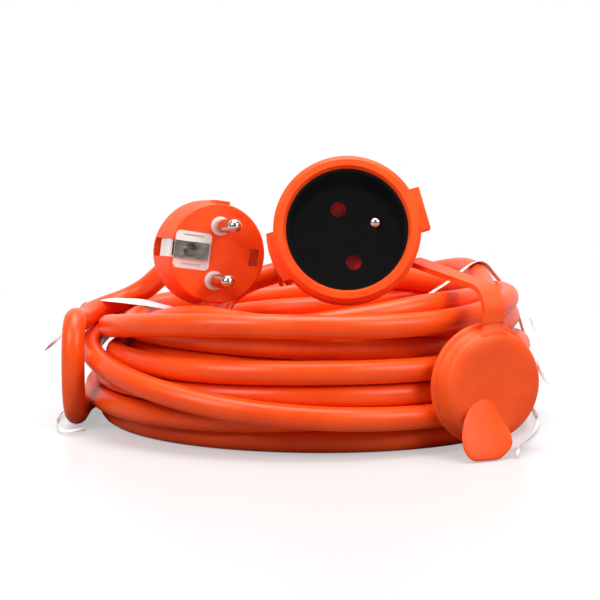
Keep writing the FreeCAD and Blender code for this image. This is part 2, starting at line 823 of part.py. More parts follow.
def make_all():
    parts = {}
    parts.update(make_plug())
    parts.update(make_coupler())
    parts["plug_bend_relief"] = make_relief(plug_relief_axis, plug_relief_root_r)
    parts["coupler_bend_relief"] = make_relief(coupler_relief_axis, coupler_relief_root_r)
    parts["cap_strap"] = make_strap()
    parts["coupler_cap"] = placed(make_cap(), cap_frame())
    parts["cord_coil"] = make_coil()
    parts["coil_core"] = make_coil_core()
    parts["cord_to_plug"] = route_tube(plug_cord_points(), cord_d / 2, "cord_to_plug")
    parts["cord_to_coupler"] = route_tube(coupler_cord_points(), cord_d / 2, "cord_to_coupler")
    parts["tie_left"] = make_tie(tie_left_angle, tie_left_reach_in, tie_left_reach_out)
    parts["tie_right"] = make_tie(tie_right_angle, tie_right_reach_in, 0.0)
    return parts


os.makedirs("parts", exist_ok=True)
for node, shape in make_all().items():
    shape.exportStep("parts/" + node + ".step")
    print(node, "solids", len(shape.Solids), "valid", shape.isValid(), "volume", round(shape.Volume, 1))
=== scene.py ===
# %% [markdown]
# # A wound extension lead, with its plug, coupler and stopper cap
#
# The lead lies as it is sold: ten metres of orange cord in a loose bundle, tied at the left and at
# the right. The plug and the coupler rest on top, and the cap hangs from the coupler on a strap.
# The CAD model is loaded first as a fixed frame, and every Blender piece is placed around it.

# %% Load the frame
import math

import bmesh
import bpy
import numpy as np
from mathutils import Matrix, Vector


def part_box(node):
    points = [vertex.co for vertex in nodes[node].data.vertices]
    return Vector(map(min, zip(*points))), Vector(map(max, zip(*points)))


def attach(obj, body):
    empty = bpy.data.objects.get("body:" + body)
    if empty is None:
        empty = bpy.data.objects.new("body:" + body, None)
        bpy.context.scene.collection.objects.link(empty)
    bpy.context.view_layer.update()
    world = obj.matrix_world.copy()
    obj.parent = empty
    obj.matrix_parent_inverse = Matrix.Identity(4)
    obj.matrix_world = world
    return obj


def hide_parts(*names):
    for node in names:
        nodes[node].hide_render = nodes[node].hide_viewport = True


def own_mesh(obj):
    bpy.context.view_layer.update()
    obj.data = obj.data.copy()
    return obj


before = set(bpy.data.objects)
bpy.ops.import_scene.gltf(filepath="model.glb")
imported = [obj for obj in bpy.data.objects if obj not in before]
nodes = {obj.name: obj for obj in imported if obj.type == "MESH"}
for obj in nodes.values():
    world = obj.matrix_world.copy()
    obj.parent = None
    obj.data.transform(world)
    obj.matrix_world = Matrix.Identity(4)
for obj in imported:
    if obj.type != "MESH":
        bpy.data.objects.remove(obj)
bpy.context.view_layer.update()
MM = 0.001


def in_mm(values):
    """Metres as millimetres with one decimal, for what the cells print."""
    return [round(v / MM, 1) for v in values]


# %% [markdown]
# ## The camera
#
# The photograph was taken from a little above the floor with a long lens, which keeps the bundle
# flat and calm. The camera stands about 0.8 m in front of the bundle and looks down by 7 degrees.
# Most places in this script are written in millimetres from the middle of the bundle's foot, and
# one small function turns them into the frame's metres.

# %% Camera
bundle_centre = Vector((-9.5, 26.2, 0.0)) * MM
camera_pitch = math.radians(7.25)
camera_place = (-3.5, -792.0, 142.3)
photo_width = 600
focal_pixels = 2240
sensor_mm = 36.0


def at(place):
    """Place in metres of a point that is given in mm from the middle of the bundle's foot."""
    return bundle_centre + Vector(place) * MM


def add_object(name, data):
    """A new object with its data, linked into the scene."""
    made = bpy.data.objects.new(name, data)
    bpy.context.scene.collection.objects.link(made)
    return made


camera_data = bpy.data.cameras.new("camera")
camera_data.sensor_width = sensor_mm
camera_data.lens = sensor_mm * focal_pixels / photo_width
camera_data.clip_start = 0.05
camera_data.clip_end = 10.0
camera = add_object("camera", camera_data)
camera.location = at(camera_place)
camera.rotation_euler = (math.pi / 2 - camera_pitch, 0.0, 0.0)
bpy.context.scene.camera = camera
print("lens in mm", round(camera_data.lens, 1))

# %% [markdown]
# ## The cord: how a loose bundle is laid
#
# A real bundle is one long cord, thrown round and round, so each turn lies where the others leave
# it room. A perfect spiral would look machined. Here every turn starts from a place in the
# bundle's section. The turns that the photograph shows at the front get their own heights, and
# the others fill five columns behind them. Then all turns are pushed apart until no two are much
# nearer than the cord is thick.

# %% The turns that the photograph shows
# The cord goes round 26 times and 230 degrees more, clockwise seen from above, from a start at
# the back left. A turn is worked out at 48 stations.
cord_d = 8.0
turns = 26
last_turn_share = 230.0 / 360.0
stations = 48
start_angle = 140.0

# Each row: degrees gone since the turn's start, radius and height in mm. The turns run over the
# back first, past the right tie at about 128, and from right to left over the front.
seen_turns = [
    [(0, 74, 4.3), (60, 75, 4.2), (110, 72, 4.2), (140, 71, 4.2), (165, 72, 4.2), (197, 72, 4.3),
     (235, 69, 4.1), (271, 68, 4.1), (300, 71, 4.2), (334, 73, 4.3)],
    [(0, 73.5, 12.6), (60, 74, 12), (100, 72, 11.8), (140, 69, 13.8), (165, 70, 12.8),
     (200, 73, 11.4), (235, 75, 10.8), (271, 76, 9.8), (305, 76, 10.4), (334, 75, 12.3)],
    [(0, 73, 21), (60, 73, 20), (100, 71, 19.3), (140, 70, 21.3), (165, 73, 20.3), (200, 78, 18.1),
     (235, 78, 20.2), (253, 78, 21.4), (273, 76, 22.6), (300, 73, 21), (334, 74, 20.5)],
    [(0, 66, 21), (60, 68, 26), (100, 70, 28.3), (140, 72, 28.3), (165, 75, 27.3), (199, 77, 26.5),
     (235, 77, 26.9), (254, 77, 26.9), (282, 75, 26.2), (310, 69, 24), (334, 66, 21.5)],
    [(0, 66, 30), (60, 66, 31), (90, 67, 35.3), (140, 65, 34.3), (165, 67, 32.3), (199, 68, 30.3),
     (235, 75, 31.9), (254, 75, 32.8), (272, 75, 33.6), (301, 70, 29.5), (334, 58.5, 24)],
    [(0, 58.5, 30.5), (80, 64, 38.3), (140, 64, 41.3), (165, 65, 39.3), (199, 67, 36.3),
     (223, 75, 35.1), (235, 75, 37.1), (259, 75, 38.6), (268, 75, 38.3), (300, 64, 33),
     (334, 58.5, 32)],
    [(0, 59, 37), (70, 60, 38.3), (90, 64, 44.3), (115, 66, 46.8), (130, 66, 46.3), (150, 67, 44.3),
     (170, 72, 41.3), (198, 76, 36.8), (207, 76, 39.1), (218, 75, 42.1), (235, 75, 44.9),
     (254, 75, 45.2), (272, 75, 42.3), (286, 74, 38.6), (300, 69, 34), (334, 67, 30)],
    [(0, 73, 29.5), (40, 73, 25), (90, 75, 20.3), (130, 73, 14.8), (150, 74, 14.8), (165, 76, 13.8),
     (200, 81, 12.8), (235, 83, 12.3), (252, 82, 14.8), (268, 81, 19.3), (278, 81, 24.3),
     (287, 80, 28.3), (298, 79, 35.3), (312, 76, 34.3), (334, 75, 31)],
    [(0, 66, 37), (60, 60, 38), (85, 64, 47.5), (98, 69, 51.5), (108, 70, 51), (118, 65, 49.5),
     (135, 61, 48), (150, 61, 47.3), (180, 70, 46.1), (203, 70, 46.1), (225, 65, 41.3),
     (270, 58, 37.3), (300, 50, 32), (334, 43, 31)],
    [(0, 43, 31), (60, 56, 34), (85, 63, 41), (100, 67, 43), (114, 71, 44.5), (125, 72, 43.5),
     (138, 69, 41), (150, 66, 40), (177, 69, 38.8), (196, 71, 41.3), (215, 65, 40.3),
     (240, 58, 38.3), (300, 52, 34), (334, 50, 31)],
]
print("turns with a place of their own", len(seen_turns))

# %% Where each turn wants to lie
hidden_columns = (66.5, 58.5, 50.5, 42.5, 34.5)
hidden_rows = (4.3, 13.0, 21.8, 30.6)
# How far the hidden turns are drawn inwards, in mm, at some degrees since a turn's start.
inward_keys = ((0, 8), (80, 8), (105, 7), (160, 7), (190, 3), (272, 3), (300, 6), (360, 8))


def hidden_place(order):
    """Place in the section of one of the turns that others hide, down one column, up the next."""
    column, row = divmod(order, len(hidden_rows))
    if column % 2 == 0:
        row = len(hidden_rows) - 1 - row
    return hidden_columns[column], hidden_rows[row]


def wanted_place(turn, gone):
    """Radius and height that one turn wants at some degrees since its start."""
    if turn < len(seen_turns):
        last_seen = turn + 1 == len(seen_turns)
        turn_end = hidden_place(0) if last_seen else seen_turns[turn + 1][0][1:]
        angles, radii, heights = zip(*seen_turns[turn], (360, *turn_end))
        return float(np.interp(gone, angles, radii)), float(np.interp(gone, angles, heights))
    order = turn - len(seen_turns)
    here, there = hidden_place(order), hidden_place(order + 1)
    share = gone / 360
    inward = float(np.interp(gone, *zip(*inward_keys)))
    radius = here[0] + (there[0] - here[0]) * share - inward
    return radius, here[1] + (there[1] - here[1]) * share


count = int((turns + last_turn_share) * stations)
wanted = np.array([
    wanted_place(i // stations, 360.0 * (i % stations) / stations) for i in range(count)
])
print("turns", round(count / stations, 2), "points before thinning", count)

# %% [markdown]
# ## The two free ends
#
# From the plug the cord runs over the left side, folds down in one upright hairpin that faces the
# camera, and slips under the bundle. From the coupler it dives into the middle of the ring. Both
# ends leave their reliefs in the relief's own direction. They are control points for the curve.

# %% Control points of the free ends, from the bundle's middle
plug_end = [
    (-51.2, 22.0, 51.1), (-54.8, 25.1, 47.5), (-60.5, 28.0, 42.0), (-68.0, 27.5, 38.0),
    (-76.0, 21.5, 36.0), (-80.0, 12.0, 35.0), (-81.5, 0.0, 34.0), (-81.5, -14.0, 36.6),
    (-81.5, -24.5, 37.9), (-81.5, -31.5, 29.5), (-81.5, -31.5, 12.5), (-81.5, -24.0, 4.4),
    (-81.5, -14.0, 4.3), (-81.3, 6.0, 4.3), (-76.5, 24.0, 4.3), (-67.5, 38.0, 4.3),
]
coupler_end = [
    (-28.5, -29.0, 23.5), (-33.5, -14.7, 24.4), (-32.6, 2.6, 33.7), (-32.3, 13.3, 37.9),
    (-28.4, 21.8, 42.2), (-20.8, 27.4, 45.9), (-10.9, 27.7, 48.5),
]
print("points of the free ends", len(plug_end), len(coupler_end))

# %% [markdown]
# ## Pushing the turns apart
#
# All turns cross the same upright planes through the bundle's middle, one plane for each station.
# In such a plane a cord is a small disc, so the whole job is to keep two dozen discs apart, on the
# floor, clear of the plug and the coupler, and smooth from one plane to the next. The plug, the
# coupler and the free ends are thick rods here. A ceiling keeps the heap as low as it is in the
# photograph: high at the right, low at the left and behind.

# %% What the turns keep clear of
# Room asked for between two surfaces in mm, the least distance that a push is worked out with,
# and how many discs at each end of the turns may touch the free ends that they run on into.
spare = 0.3
least_far = 0.5
free_discs = 3
plug_face, plug_heel, sleeve_end = (-32.2, -21.0, 60.5), (-41.9, 7.3, 57.9), (-51.2, 22.0, 51.1)
rim_face, rim_back = (12.4, -42.0, 71.1), (12.4, -33.2, 69.1)
# The ends and the radius of the plug, its sleeve, and the coupler's ring, body and sleeve.
rods = [
    (plug_face, plug_heel, 18.6),
    (plug_heel, sleeve_end, 7.8),
    (rim_face, rim_back, 25.2),
    ((12.4, -33.0, 69.1), (12.4, -8.0, 63.3), 22.0),
    ((12.4, 4.8, 60.3), (-10.9, 27.7, 48.5), 7.0),
]
rods += [(a, b, cord_d / 2) for a, b in zip(plug_end[:-2], plug_end[1:-1])]
rods += [(a, b, cord_d / 2) for a, b in zip(coupler_end[2:-1], coupler_end[3:])]

step_angle = 2 * math.pi / stations
sweep = np.radians(start_angle) - step_angle * np.arange(count)
outward = np.stack([np.cos(sweep), np.sin(sweep)], axis=1)


def away_from_rods(values):
    """How far each disc is pushed by the plug, the coupler and the free ends."""
    points = np.concatenate([outward * values[:, :1], values[:, 1:]], axis=1)
    push = np.zeros_like(values)
    for start, end, radius in rods:
        start = np.array(start)
        axis = np.array(end) - start
        share = np.clip((points - start) @ axis / (axis @ axis), 0, 1)
        gap = points - start - share[:, None] * axis
        far = np.linalg.norm(gap, axis=1)
        short = np.maximum(0.0, radius + cord_d / 2 + spare - far)
        short[:free_discs] = 0.0
        short[-free_discs:] = 0.0
        away = gap / np.maximum(far, least_far)[:, None] * short[:, None]
        push[:, 0] += (away[:, :2] * outward).sum(1)
        push[:, 1] += away[:, 2]
    return push


print("rods to keep clear of", len(rods))

# %% How the turns push each other
push_share = 0.4


def turn_by_turn(values):
    """The line's values as one row for each turn, with nan after the cord's end."""
    rows = int(math.ceil(count / stations))
    full = np.full((rows * stations, 2), np.nan)
    full[:count] = values
    return full.reshape(rows, stations, 2)


def gaps_between_turns(values):
    """Gap vectors between the discs of each plane, and how near their middles really are."""
    grid = turn_by_turn(values)
    slope = np.zeros_like(values)
    arc = values[1:-1, 0] * step_angle
    slope[1:-1] = (values[2:] - values[:-2]) / (2 * arc[:, None])
    steep = turn_by_turn(slope)
    gap = grid[:, None] - grid[None]
    lean = (steep[:, None] + steep[None]) / 2
    flat = np.sqrt((gap ** 2).sum(-1))
    along = (gap * lean).sum(-1) ** 2 / (1 + (lean ** 2).sum(-1))
    return gap, flat, np.sqrt(np.maximum(flat ** 2 - along, 1e-6))


def away_from_turns(values):
    """How far each disc is pushed by the others in its plane."""
    gap, flat, near = gaps_between_turns(values)
    short = np.nan_to_num(np.maximum(0.0, cord_d + spare - near))
    itself = np.arange(gap.shape[0])
    short[itself, itself] = 0.0
    away = gap / np.maximum(flat, least_far)[..., None] * short[..., None] * push_share
    return np.nan_to_num(away).sum(1).reshape(-1, 2)[:count]


print("distance that two turns ask for in mm", cord_d + spare)

# %% The ceiling
# Degrees since a turn's start, and the height in mm that the heap's outer turns may reach there.
ceiling_keys = [
    (0, 33), (70, 34), (86, 46), (98, 53), (110, 52.5), (124, 48), (140, 45), (150, 45),
    (203, 46.3), (235, 45.3), (272, 42.3), (286, 39), (300, 36), (334, 33), (360, 33),
]
# Inside a radius of 74 mm it falls by 0.14 mm a millimetre, but not under 28 mm. In each round
# it takes away 0.45 of what a disc stands too high.
ceiling_fall = 0.14
ceiling_edge = 74.0
ceiling_least = 28.0
ceiling_press = 0.45
gone_each = np.degrees(step_angle * np.arange(count)) % 360.0
ceiling_base = np.interp(gone_each, *zip(*ceiling_keys))


def under_ceiling(values):
    """Presses down what stands higher than the heap does at that place in the photograph."""
    top = ceiling_base - ceiling_fall * np.maximum(0.0, ceiling_edge - values[:, 0])
    out = values.copy()
    out[:, 1] -= ceiling_press * np.maximum(0.0, values[:, 1] - np.maximum(top, ceiling_least))
    return out


print("ceiling in mm from", ceiling_base.min(), "to", ceiling_base.max().round(1))

# %% Settle the bundle
# In each round a disc is drawn to its wanted place by a small share, sinks a little, is
# smoothed along the cord and pushed clear of all others. In the last rounds, the calm ones,
# only the pushes and a light smoothing work on.
settle_rounds = 1000
calm_rounds = 60
seen_hold, hidden_hold = 0.05, 0.01
weight = 0.06
smoothing, calm_smoothing = 0.5, 0.2
floor_gap = 0.1
first_scatter = 0.3


def smoother(values, amount):
    """Each disc moved by a share of the way to the middle of its two neighbours on the cord."""
    out = values.copy()
    out[1:-1] += amount * ((values[:-2] + values[2:]) / 2 - values[1:-1])
    return out


laid = wanted.copy()
rng = np.random.default_rng(4)
laid += rng.normal(0.0, first_scatter, laid.shape)
is_seen = np.arange(count) < len(seen_turns) * stations
hold = np.where(is_seen, seen_hold, hidden_hold)[:, None]
for settle_round in range(settle_rounds):
    calming = settle_round >= settle_rounds - calm_rounds
    if not calming:
        laid += hold * (wanted - laid)
        laid[:, 1] -= weight
        laid = under_ceiling(laid)
    laid = smoother(laid, calm_smoothing if calming else smoothing)
    laid += away_from_turns(laid)
    laid += away_from_rods(laid)
    laid[:, 1] = np.maximum(laid[:, 1], cord_d / 2 + floor_gap)
nearest = gaps_between_turns(laid)[2]
nearest[np.arange(len(nearest)), np.arange(len(nearest))] = np.nan
inner, outer, top = laid[:, 0].min(), laid[:, 0].max(), laid[:, 1].max()
print("radius in mm from", inner.round(1), "to", outer.round(1), "top", top.round(1))
print("least distance between turns in mm", np.nanmin(nearest).round(2))

# %% [markdown]
# ## One curve for the whole cord
#
# The settled turns are thinned to 24 points a turn and become the control points of one NURBS
# curve, together with the two free ends. A round bevel gives it its 8 mm. The radius of each
# control point carries the thickness, so that the curve's own box is as large as the cord.

# %% Cord curve
thinning = 2
turn_points = [
    (outward[i, 0] * laid[i, 0], outward[i, 1] * laid[i, 0], laid[i, 1])
    for i in range(0, count, thinning)
]
cord_points = plug_end + turn_points + coupler_end

cord_curve = bpy.data.curves.new("cord", "CURVE")
cord_curve.dimensions = "3D"
cord_curve.bevel_depth = 1.0
cord_curve.bevel_resolution = 6
cord_curve.resolution_u = 4
spline = cord_curve.splines.new("NURBS")
spline.points.add(len(cord_points) - 1)
for point, place in zip(spline.points, cord_points):
    point.co = (*at(place), 1.0)
    point.radius = cord_d / 2 * MM
spline.order_u = 3
spline.use_endpoint_u = True
cord = add_object("cord", cord_curve)
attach(cord, "lead")
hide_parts("cord_coil", "coil_core", "cord_to_plug", "cord_to_coupler")
print("cord points", len(cord_points))

# %% Measure the cord
bare = bpy.data.objects.new("bare", cord_curve.copy())
bare.data.bevel_depth = 0.0
line_mesh = bpy.data.meshes.new_from_object(bare)
line = np.array([v.co for v in line_mesh.vertices])
cord_length = float(np.linalg.norm(np.diff(line, axis=0), axis=1).sum())
bpy.data.meshes.remove(line_mesh)
bpy.data.curves.remove(bare.data)
print("length in m", round(cord_length, 2))

# %% [markdown]
# ## Materials: the small tools
#
# Colours are written as sRGB hex values, as a paint chart gives them, and one function turns them
# into the linear values that the shader wants. A second one adds a node with its settings and
# links. The last two draw what nearly every finish here has: a fine grain that bends the light,
# and a slow change of colour and gloss. Their sizes are written in real millimetres.

# %% Colour and node helpers
def linear(hex_value):
    """Linear colour of an sRGB hex value."""
    parts = [int(hex_value[i:i + 2], 16) / 255 for i in (1, 3, 5)]
    return (*[p / 12.92 if p <= 0.04045 else ((p + 0.055) / 1.055) ** 2.4 for p in parts], 1.0)


def add_node(board, kind, inputs=None, links=None, **settings):
    """Adds a node: settings are its properties, inputs its values, links come from other nodes."""
    node = board.nodes.new(kind)
    for key, value in settings.items():
        setattr(node, key, value)
    for key, value in (inputs or {}).items():
        node.inputs[key].default_value = value
    for key, (source, output) in (links or {}).items():
        board.links.new(source.outputs[output], node.inputs[key])
    return node


def new_material(name, **shader_values):
    """A material whose main shader's own sockets take the values, and a node named place."""
    material = bpy.data.materials.new(name)
    material.use_nodes = True
    for key, value in shader_values.items():
        shader = material.node_tree.nodes["Principled BSDF"]
        shader.inputs[key.replace("_", " ")].default_value = value
    add_node(material.node_tree, "ShaderNodeTexCoord", name="place")
    return material


def grain(material, wide_mm, deep_mm, detail=2.0):
    """Fine bumps of a moulded, rolled or stamped surface."""
    board = material.node_tree
    noise = add_node(
        board, "ShaderNodeTexNoise", {"Scale": 1 / (wide_mm * MM), "Detail": detail},
        {"Vector": (board.nodes["place"], "Object")},
    )
    bump = add_node(
        board, "ShaderNodeBump", {"Distance": deep_mm * MM, "Strength": 1.0},
        {"Height": (noise, "Fac")},
    )
    board.links.new(bump.outputs["Normal"], board.nodes["Principled BSDF"].inputs["Normal"])


def mottle(material, wide_mm, colours, roughness):
    """Slow change of colour and gloss over the surface, as colour batches and handling leave."""
    board = material.node_tree
    shader = board.nodes["Principled BSDF"]
    noise = add_node(
        board, "ShaderNodeTexNoise", {"Scale": 1 / (wide_mm * MM), "Detail": 3.0},
        {"Vector": (board.nodes["place"], "Object")},
    )
    ramp = add_node(board, "ShaderNodeValToRGB", None, {"Fac": (noise, "Fac")})
    for stop, position, colour in zip(ramp.color_ramp.elements, (0.35, 0.65), colours):
        stop.position = position
        stop.color = linear(colour)
    gloss = add_node(
        board, "ShaderNodeMapRange", {"To Min": roughness[0], "To Max": roughness[1]},
        {"Value": (noise, "Fac")},
    )
    board.links.new(ramp.outputs["Color"], shader.inputs["Base Color"])
    board.links.new(gloss.outputs["Result"], shader.inputs["Roughness"])


print("orange in linear values", [round(v, 3) for v in linear("#F54B10")])

# %% [markdown]
# ## Soft PVC: the cord's sheath and the moulded covers
#
# The sheath is plasticised PVC, extruded through a die. It is glossy, with long shallow waves left
# by the cooling bath. The covers of the plug, the coupler, the strap and the cap are the same PVC,
# but injection moulded in a spark-eroded mould, so they are a little duller. PVC has an IOR of
# about 1.53. Its specular level is turned down, because large soft boxes would otherwise lay a
# pink haze over the orange. The mould's real grain is about 0.05 mm wide, too fine to show, and
# is drawn 0.6 mm wide.

# %% PVC materials
sheath_pvc = new_material("extruded_pvc_sheath", IOR=1.53, Specular_IOR_Level=0.27)
mottle(sheath_pvc, wide_mm=18.0, colours=("#F0460A", "#F85210"), roughness=(0.28, 0.4))
grain(sheath_pvc, wide_mm=3.5, deep_mm=0.05, detail=3.0)

moulded_pvc = new_material("moulded_pvc_cover", IOR=1.53, Specular_IOR_Level=0.3)
mottle(moulded_pvc, wide_mm=12.0, colours=("#F34A0A", "#FA5612"), roughness=(0.42, 0.54))
grain(moulded_pvc, wide_mm=0.6, deep_mm=0.012)
cord_curve.materials.append(sheath_pvc)
print("finishes", sheath_pvc.name, moulded_pvc.name)

# %% [markdown]
# ## Hard plastics: the inserts, the carrier and the shutter
#
# The coupler's black face is polished ABS and shows the lamps like a dark mirror. The plug's white
# insert is ABS too, with a satin finish. The contact carrier is duller black polyamide, and the red
# shutter seen through the two holes is acetal. All have an IOR near 1.5, so that only their colour
# and roughness tell them apart. Their grain is again drawn coarser than it is, so that it shows.

# %% Hard plastic materials
black_abs = new_material("polished_black_abs", IOR=1.52)
mottle(black_abs, wide_mm=9.0, colours=("#08080A", "#0E0E10"), roughness=(0.10, 0.18))
grain(black_abs, wide_mm=2.5, deep_mm=0.008)

black_carrier = new_material("moulded_black_polyamide", IOR=1.53)
mottle(black_carrier, wide_mm=6.0, colours=("#141416", "#1C1C1F"), roughness=(0.45, 0.6))
grain(black_carrier, wide_mm=0.5, deep_mm=0.02)

white_abs = new_material("moulded_white_abs", IOR=1.52)
mottle(white_abs, wide_mm=8.0, colours=("#E6E3DE", "#F2F0EC"), roughness=(0.32, 0.44))
grain(white_abs, wide_mm=0.5, deep_mm=0.01)

# The shutter's red is set lighter to make up for the shade deep in the holes: painted light.
red_acetal = new_material("moulded_red_acetal", IOR=1.48)
mottle(red_acetal, wide_mm=4.0, colours=("#E2101C", "#F42A2C"), roughness=(0.22, 0.34))
grain(red_acetal, wide_mm=0.4, deep_mm=0.008)
print("finishes", black_abs.name, black_carrier.name, white_abs.name, red_acetal.name)

# %% [markdown]
# ## Metals: nickel plate and brass
#
# The pins and the earth strip are brass with bright nickel plate, which reflects a warm grey. The
# contact sleeves inside the coupler are plain stamped brass. A metal keeps the default IOR. The
# tool leaves lines finer than a tenth of a millimetre, drawn here as a grain of a third.

# %% Metal materials
nickel_plate = new_material("nickel_plate", Metallic=1.0)
mottle(nickel_plate, wide_mm=3.0, colours=("#BDB7AD", "#D8D3CA"), roughness=(0.14, 0.26))
grain(nickel_plate, wide_mm=0.35, deep_mm=0.006, detail=1.0)

stamped_brass = new_material("stamped_brass", Metallic=1.0)
mottle(stamped_brass, wide_mm=3.0, colours=("#C99F4A", "#DDB860"), roughness=(0.22, 0.38))
grain(stamped_brass, wide_mm=0.3, deep_mm=0.006, detail=1.0)
print("finishes", nickel_plate.name, stamped_brass.name)

# %% [markdown]
# ## Core insulation
#
# Three cores in brown, blue and green with yellow run inside the plug and the coupler. The earth
# core's two colours are extruded as stripes along it, which a wave texture draws as broad bands.

# %% Core materials
brown_core = new_material("brown_pvc_insulation", IOR=1.53)
mottle(brown_core, wide_mm=5.0, colours=("#4E2A16", "#5E341C"), roughness=(0.35, 0.5))
grain(brown_core, wide_mm=0.6, deep_mm=0.01)

blue_core = new_material("blue_pvc_insulation", IOR=1.53)
mottle(blue_core, wide_mm=5.0, colours=("#1A4FA0", "#2560B4"), roughness=(0.35, 0.5))
grain(blue_core, wide_mm=0.6, deep_mm=0.01)

earth_core = new_material("green_yellow_pvc_insulation", IOR=1.53, Roughness=0.42)
grain(earth_core, wide_mm=0.6, deep_mm=0.01)
stripe_mm = 3.0
waves_per_unit = 6.3
board = earth_core.node_tree
stripes = add_node(
    board, "ShaderNodeTexWave", {"Scale": 1 / (stripe_mm * MM) / waves_per_unit, "Distortion": 0.5},
    {"Vector": (board.nodes["place"], "Object")},
)
two_colours = add_node(board, "ShaderNodeValToRGB", None, {"Fac": (stripes, "Fac")})
two_colours.color_ramp.interpolation = "CONSTANT"
green, yellow = two_colours.color_ramp.elements
green.color = linear("#1F8A3A")
yellow.position = 0.5
yellow.color = linear("#E8D21E")
board.links.new(two_colours.outputs["Color"], board.nodes["Principled BSDF"].inputs["Base Color"])
print("finishes", brown_core.name, blue_core.name, earth_core.name)

# %% [markdown]
# ## Clear film
#
# The ties are narrow strips of clear polypropylene film, almost colourless. Crumpled film catches
# the light as white streaks, so here the film is drawn nearly opaque white as painted glints. The
# crumple itself is a deep grain, about 1.5 mm wide.

# %% Film material
# Nearly opaque white base colour: painted glints, standing in for the light that the clear film
# catches.
film_painted_glints = new_material("polypropylene_film_painted_glints", IOR=1.49, Alpha=0.94)
mottle(film_painted_glints, wide_mm=3.0, colours=("#F6F6F6", "#FFFFFF"), roughness=(0.25, 0.4))
grain(film_painted_glints, wide_mm=1.5, deep_mm=0.12)
print("finish", film_painted_glints.name)

# %% [markdown]
# ## Finishes for the CAD pieces
#
# The hard pieces keep their CAD shape, which is exact, and only get a better finish. The material
# goes into the material slots of each piece, and its shape isn't touched.

# %% Give each carried-over CAD piece its finish
finishes = {
    moulded_pvc: ("plug_body", "coupler_body", "cap_strap"),
    black_abs: ("coupler_insert",),
    black_carrier: ("coupler_carrier",),
    white_abs: ("plug_insert",),
    red_acetal: ("coupler_shutter",),
    nickel_plate: (
        "plug_line_pin", "plug_neutral_pin", "plug_earth_strip", "plug_earth_tube", "plug_crimps",
        "coupler_earth_pin", "coupler_earth_link", "coupler_crimps",
    ),
    stamped_brass: ("line_sleeve", "neutral_sleeve"),
    brown_core: ("plug_core_brown", "coupler_core_brown"),
    blue_core: ("plug_core_blue", "coupler_core_blue"),
    earth_core: ("plug_core_green_yellow", "coupler_core_green_yellow"),
}
for material, names in finishes.items():
    for name in names:
        for slot in nodes[name].material_slots:
            slot.material = material
print("finished CAD pieces", sum(len(names) for names in finishes.values()))

# %% [markdown]
# ## Meshes from rings of points
#
# The sleeves, the spring, the cap, its tab, its neck and the ties are all made the same way: rings
# of points, one after the other, with faces between them. Three small functions hold what they
# share, so that each piece below says only where its rings lie.

# %% Mesh helpers
def circle(parts):
    """Angles that divide a full circle into equal parts."""
    return [2 * math.pi * k / parts for k in range(parts)]


def bridge(build, rings):
    """Faces between each ring and the next; a ring may also be a single point."""
    for low, high in zip(rings, rings[1:]):
        around = max(len(low), len(high))
        for k in range(around):
            after = (k + 1) % around
            if len(low) == 1:
                build.faces.new((low[0], high[after], high[k]))
            elif len(high) == 1:
                build.faces.new((low[k], low[after], high[0]))
            else:
                build.faces.new((low[k], low[after], high[after], high[k]))


def smooth_piece(name, build, material, softened=None):
    """A smooth object from built faces; softened gives its subdivisions on screen and rendered."""
    bmesh.ops.recalc_face_normals(build, faces=build.faces)
    mesh = bpy.data.meshes.new(name)
    build.to_mesh(mesh)
    build.free()
    for face in mesh.polygons:
        face.use_smooth = True
    mesh.materials.append(material)
    piece = add_object(name, mesh)
    if softened:
        soften = piece.modifiers.new("soften", "SUBSURF")
        soften.levels, soften.render_levels = softened
    return piece


print("angles of a circle in four parts", [round(a, 2) for a in circle(4)])

# %% [markdown]
# ## The strain reliefs
#
# Where the cord leaves the plug and the coupler, a tapered sleeve of the same PVC is moulded on.
# Its ribs are cut by slots that let it bend, and here both sleeves are bent, because the cord
# turns away behind. Each is swept along its own arc: rings of points, wide on a rib and narrow in
# a groove, with rounded rib edges. A bent stack of plain discs would show steps instead.

# %% A ribbed sleeve
sleeve_around = 56
groove_deep = 1.25 * MM
edge_round = 0.25 * MM
# How far along one rib, and how far under its crest.
rib_profile = (
    (0.00, groove_deep), (0.12, groove_deep), (0.20, edge_round), (0.26, 0.0),
    (0.74, 0.0), (0.80, edge_round), (0.88, groove_deep), (1.00, groove_deep),
)
# The rounded mouth: how far along the sleeve, and how far under its tip's radius.
mouth_profile = ((1.0, 0.0), (1.03, 0.2 * MM), (1.04, 0.6 * MM))


def bent_axis(share, root, back, lean, bend_r, turn):
    """Place, heading and upright on an arc that leaves root backwards and bends towards lean."""
    side = (lean - back * lean.dot(back)).normalized()
    angle = math.radians(turn) * share
    place = root + back * (bend_r * math.sin(angle)) + side * (bend_r * (1 - math.cos(angle)))
    return place, back * math.cos(angle) + side * math.sin(angle), back.cross(side)


def ribbed_sleeve(name, bend, root_r, tip_r, ribs):
    """Tapered sleeve with rounded ribs round a bent axis, from the housing to the cord."""
    profile = []
    for rib in range(ribs):
        crest = root_r + (tip_r - root_r) * (rib + 0.5) / ribs
        profile += [((rib + part) / ribs, crest - deep) for part, deep in rib_profile]
    profile += [(share, tip_r - deep) for share, deep in mouth_profile]
    profile.append((mouth_profile[-1][0], cord_d / 2 * MM))
    build = bmesh.new()
    rings = []
    for share, radius in profile:
        place, heading, upright = bent_axis(share, **bend)
        across = upright.cross(heading).normalized()
        rings.append([
            build.verts.new(place + (across * math.cos(a) + upright * math.sin(a)) * radius)
            for a in circle(sleeve_around)
        ])
    bridge(build, rings)
    piece = smooth_piece(name, build, moulded_pvc)
    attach(piece, "lead")
    return piece


print("rings for each rib", len(rib_profile))

# %% The two sleeves
def aimed(yaw, pitch):
    """Heading that a face looks in, from its turn to the side and its tilt upwards in degrees."""
    yaw, pitch = math.radians(yaw), math.radians(pitch)
    flat = math.cos(pitch)
    return Vector((math.sin(yaw) * flat, -math.cos(yaw) * flat, math.sin(pitch)))


